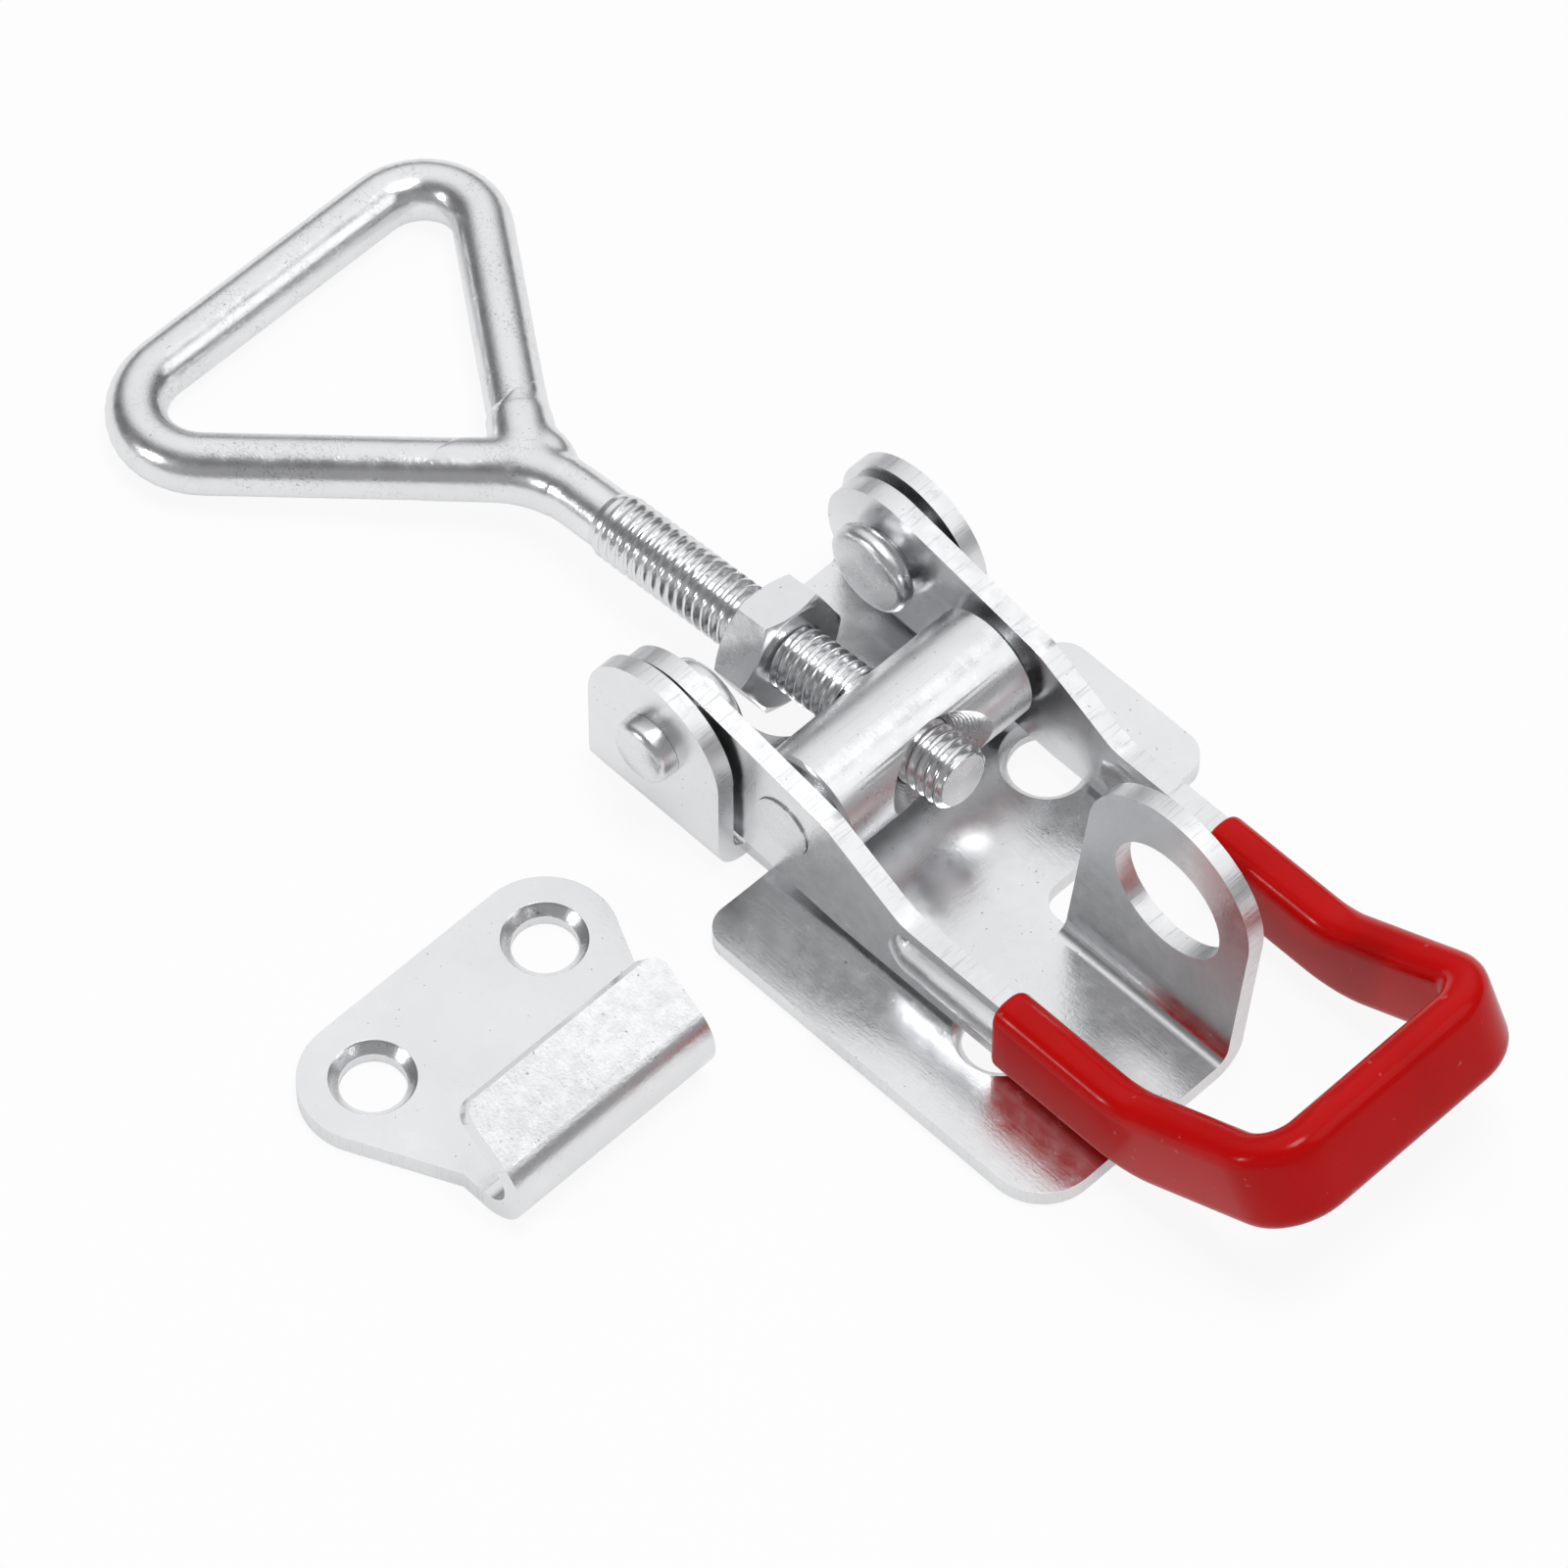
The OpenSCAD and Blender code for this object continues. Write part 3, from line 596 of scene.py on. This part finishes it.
# %% [markdown]
# The wire's end is welded to the neck, and the metal has run into the corner between them. A copy of both
# stretches, with a drop of metal set in the corner, is joined to one skin by a voxel remesh and then
# smoothed: it sinks just under the two wires and stands proud only in the corner, where a real fillet lies.

# %% Weld at the neck
WELD_FROM, WELD_TO = -49.0, -38.5
DROP_AT, DROP_TURN, DROP = (-42.7 * MM, 1.5 * MM, 0), -13.8, (3.6, 2.0, 2.2)
VOXEL, MELT_ROUNDS, REGAINED = 0.22, 60, 0.1
pick(loop)
bpy.ops.object.duplicate()
weld = bpy.context.object
weld.name = "bolt_weld"
edit(weld)
for edge, side in ((WELD_FROM, -1), (WELD_TO, 1)):
    bpy.ops.mesh.select_all(action="SELECT")
    bpy.ops.mesh.bisect(plane_co=(edge * MM, 0, 0), plane_no=(side, 0, 0), clear_outer=True,
                        use_fill=True, threshold=FINE)
bpy.ops.mesh.primitive_uv_sphere_add(segments=32, ring_count=16, radius=MM, location=DROP_AT,
                                     rotation=(0, 0, math.radians(DROP_TURN)), scale=DROP)
leave()
skin = weld.modifiers.new("skin", "REMESH")
skin.mode, skin.voxel_size = "VOXEL", VOXEL * MM
melt = weld.modifiers.new("melt", "SMOOTH")
melt.factor, melt.iterations = 0.5, MELT_ROUNDS
swell = weld.modifiers.new("swell", "DISPLACE")
swell.strength, swell.mid_level = REGAINED * MM, 0
for name in ("skin", "melt", "swell"):
    bpy.ops.object.modifier_apply(modifier=name)

# %% [markdown]
# Thread, wire and weld were all made along X, at the origin. They are now brought to the bolt's place, and
# take their finishes: the rolled thread is the glossiest, and its cut end keeps rings from the tool.

# %% Bolt into place
paint(thread, THREAD_STEEL)
paint(thread, RINGED, cut_end)
for piece, finish in ((thread, None), (loop, ROUND_WIRE), (weld, ROUND_WIRE)):
    piece.data.transform(BOLT)
    if finish:
        paint(piece, finish)
    settle(piece, "draw_bolt", "zinc_plated_steel", "draw_bolt", angle=80 if piece is thread else 38)

# %% [markdown]
# The grip follows the bent strip all the way round. It is the strip's own rounded-off section, swept along
# the handle in the same way as the wire: straight, up at the kink, and round two corners. The dipped vinyl
# ends in a soft rim, so the two end faces are bevelled.

# %% Grip
ARM_MID, STRIP_MID = 12.25, 6.0
KINK = 51.4
CLIMB = math.radians(28.3)
HANDLE_L = 18.1
SLEEVE = 37.2
STRIP_SECTION = (4.0, 8.3, 1.7)
GRIP_BENDS = (0, 11, 4, 4, 11, 0)
RIM_ROUND = 0.7


def rounded_section(width, height, radius, steps=6):
    middle_x, middle_y = width / 2 - radius, height / 2 - radius
    ring = []
    for quarter, (sx, sy) in enumerate(((1, 1), (-1, 1), (-1, -1), (1, -1))):
        for i in range(steps + 1):
            angle = math.radians(90 * quarter + 90 * i / steps)
            ring.append((sx * middle_x + radius * math.cos(angle), sy * middle_y + radius * math.sin(angle)))
    return ring


up_slope = Vector((math.cos(CLIMB), 0, math.sin(CLIMB))) * HANDLE_L * MM
kink_left, kink_right = at(KINK, -ARM_MID, STRIP_MID), at(KINK, ARM_MID, STRIP_MID)
path = [at(SLEEVE, -ARM_MID, STRIP_MID), kink_left, kink_left + up_slope, kink_right + up_slope, kink_right,
        at(SLEEVE, ARM_MID, STRIP_MID)]
grip = swept("grip_vinyl", rounded_section(*STRIP_SECTION), path, GRIP_BENDS, Vector((0, 1, 0)))
edit(grip)
choose(grip, "FACE", lambda f: abs(f.calc_center_median().x - at(SLEEVE, 0, 0).x) < 0.00001)
bpy.ops.mesh.bevel(offset=RIM_ROUND * MM, segments=4, affect="EDGES", clamp_overlap=True)
leave()
paint(grip, VINYL)
settle(grip, "lever_assembly", "red_vinyl", "grip_sleeve")

# %% [markdown]
# The floor is a wide pale plane that keeps the latch's soft shadow. Part of its colour is given straight
# to the camera and to reflections, so it reads as a white sweep without any stronger lamp.

# %% Floor
FLOOR_TONE, SEEN_SHARE, MIRRORED_SHARE = 0.86, 0.9, 0.5
UNDER_THE_FEET = -0.0002
bpy.ops.object.select_all(action="DESELECT")
bpy.ops.mesh.primitive_plane_add(size=6, location=(0, 0, 0))
floor = bpy.context.object
floor.name = "floor"
sweep, tree, shader, place = new_material("pale_floor")
shader.inputs["Base Color"].default_value = (FLOOR_TONE, FLOOR_TONE, FLOOR_TONE, 1)
shader.inputs["Roughness"].default_value = 0.9
shader.inputs["Specular IOR Level"].default_value = 0.1
rays = add(tree, "ShaderNodeLightPath")
seen = {0: rays.outputs["Is Camera Ray"], 1: SEEN_SHARE}
seen = add(tree, "ShaderNodeMath", seen, operation="MULTIPLY")
mirrored = {0: rays.outputs["Is Glossy Ray"], 1: MIRRORED_SHARE}
mirrored = add(tree, "ShaderNodeMath", mirrored, operation="MULTIPLY")
share = add(tree, "ShaderNodeMath", {0: seen.outputs[0], 1: mirrored.outputs[0]}, operation="MAXIMUM")
glow = add(tree, "ShaderNodeEmission", {"Color": (1, 1, 1, 1), "Strength": 1.0})
mixed = add(tree, "ShaderNodeMixShader", {0: share.outputs[0], 1: shader.outputs[0], 2: glow.outputs[0]})
tree.links.new(mixed.outputs[0], tree.nodes["Material Output"].inputs["Surface"])
floor.data.materials.append(sweep)
floor.location.z = UNDER_THE_FEET
print("floor", floor.name)

# %% [markdown]
# The surroundings are a light tent: bright on the side that the flat faces mirror to the camera, and dark
# further round. The dark band gives round metal its lines, and keeps the corners between two faces from
# burning out, as they mirror the other side. To the camera itself the tent is plain white.

# %% Light tent
MIRRORED_SKY = (-0.41, 0.41, 0.815)
LEVELS = ((0.30, 0.18), (0.62, 0.19), (0.74, 0.45), (0.88, 0.88))
world = bpy.data.worlds.new("light_tent")
bpy.context.scene.world = world
world.use_nodes = True
tree = world.node_tree
background = tree.nodes["Background"]
direction = add(tree, "ShaderNodeTexCoord").outputs["Generated"]
toward = add(tree, "ShaderNodeVectorMath", {0: direction, 1: MIRRORED_SKY}, operation="DOT_PRODUCT")
ramp = add(tree, "ShaderNodeValToRGB", {0: toward.outputs["Value"]})
stops = ramp.color_ramp
stops.elements[0].position, stops.elements[0].color = 0.0, (0.34, 0.34, 0.345, 1)
stops.elements[1].position, stops.elements[1].color = 1.0, (0.96, 0.96, 0.965, 1)
for position, level in LEVELS:
    stop = stops.elements.new(position)
    stop.color = (level, level, level * 1.01, 1)
rays = add(tree, "ShaderNodeLightPath")
white = add(tree, "ShaderNodeMix", {"Factor": rays.outputs["Is Camera Ray"]}, data_type="RGBA")
tree.links.new(ramp.outputs[0], white.inputs[6])
white.inputs[7].default_value = (1, 1, 1, 1)
tree.links.new(white.outputs[2], background.inputs["Color"])
background.inputs["Strength"].default_value = 1.0
print("light tent with", len(stops.elements), "levels")

# %% [markdown]
# Three soft square lamps shape the metal. The key hangs near the zenith, away from the side that the
# corners mirror. A small low lamp in front draws the thin bright lines on wire and thread, and a wide weak
# one opens the shadows on the far side.

# %% Lamps


def soft_lamp(name, place, aim, width, power):
    data = bpy.data.lights.new(name, "AREA")
    data.shape, data.size, data.energy = "SQUARE", width, power
    lamp = bpy.data.objects.new(name, data)
    bpy.context.scene.collection.objects.link(lamp)
    lamp.location = place
    lamp.rotation_mode = "QUATERNION"
    lamp.rotation_quaternion = (Vector(aim) - Vector(place)).to_track_quat("-Z", "Y")


soft_lamp("key", (0.12, 0.0, 0.95), (0, 0, 0), 0.3, 3.8)
soft_lamp("line", (-0.36, -0.70, 0.34), (0, 0, 0), 0.10, 1.3)
soft_lamp("fill", (0.45, 0.35, 0.55), (0, 0, 0), 0.45, 0.7)
print("lamps", [lamp.name for lamp in bpy.data.lights])

# %% [markdown]
# The camera stands where the photograph's did, found from the latch's own parallel edges and round holes.
# Its long lens gives the nearly parallel view.

# %% Camera
FRAME_PIXELS, FOCAL_PIXELS, SENSOR = 1600, 10439.71, 36
DISTANCE, LOOK_AT = 842.32, (4.86, -5.28, 0)
azimuth, elevation, roll = math.radians(45.14), math.radians(54.85), math.radians(0.21)
back = Vector((math.sin(azimuth) * math.cos(elevation), -math.cos(azimuth) * math.cos(elevation),
               math.sin(elevation)))
right = Vector((math.cos(azimuth), math.sin(azimuth), 0))
up = back.cross(right)
right, up = math.cos(roll) * right + math.sin(roll) * up, math.cos(roll) * up - math.sin(roll) * right
data = bpy.data.cameras.new("camera")
data.sensor_width = SENSOR
data.lens = FOCAL_PIXELS / FRAME_PIXELS * SENSOR
data.clip_start, data.clip_end = 0.01, 20
camera = bpy.data.objects.new("camera", data)
bpy.context.scene.collection.objects.link(camera)
turn = Matrix((right, up, back)).transposed().to_4x4()
camera.matrix_world = Matrix.Translation(at(*LOOK_AT) + DISTANCE * MM * back) @ turn
bpy.context.scene.camera = camera
bpy.context.scene.view_settings.view_transform = "Standard"
print("camera", round(data.lens, 1), "mm lens")
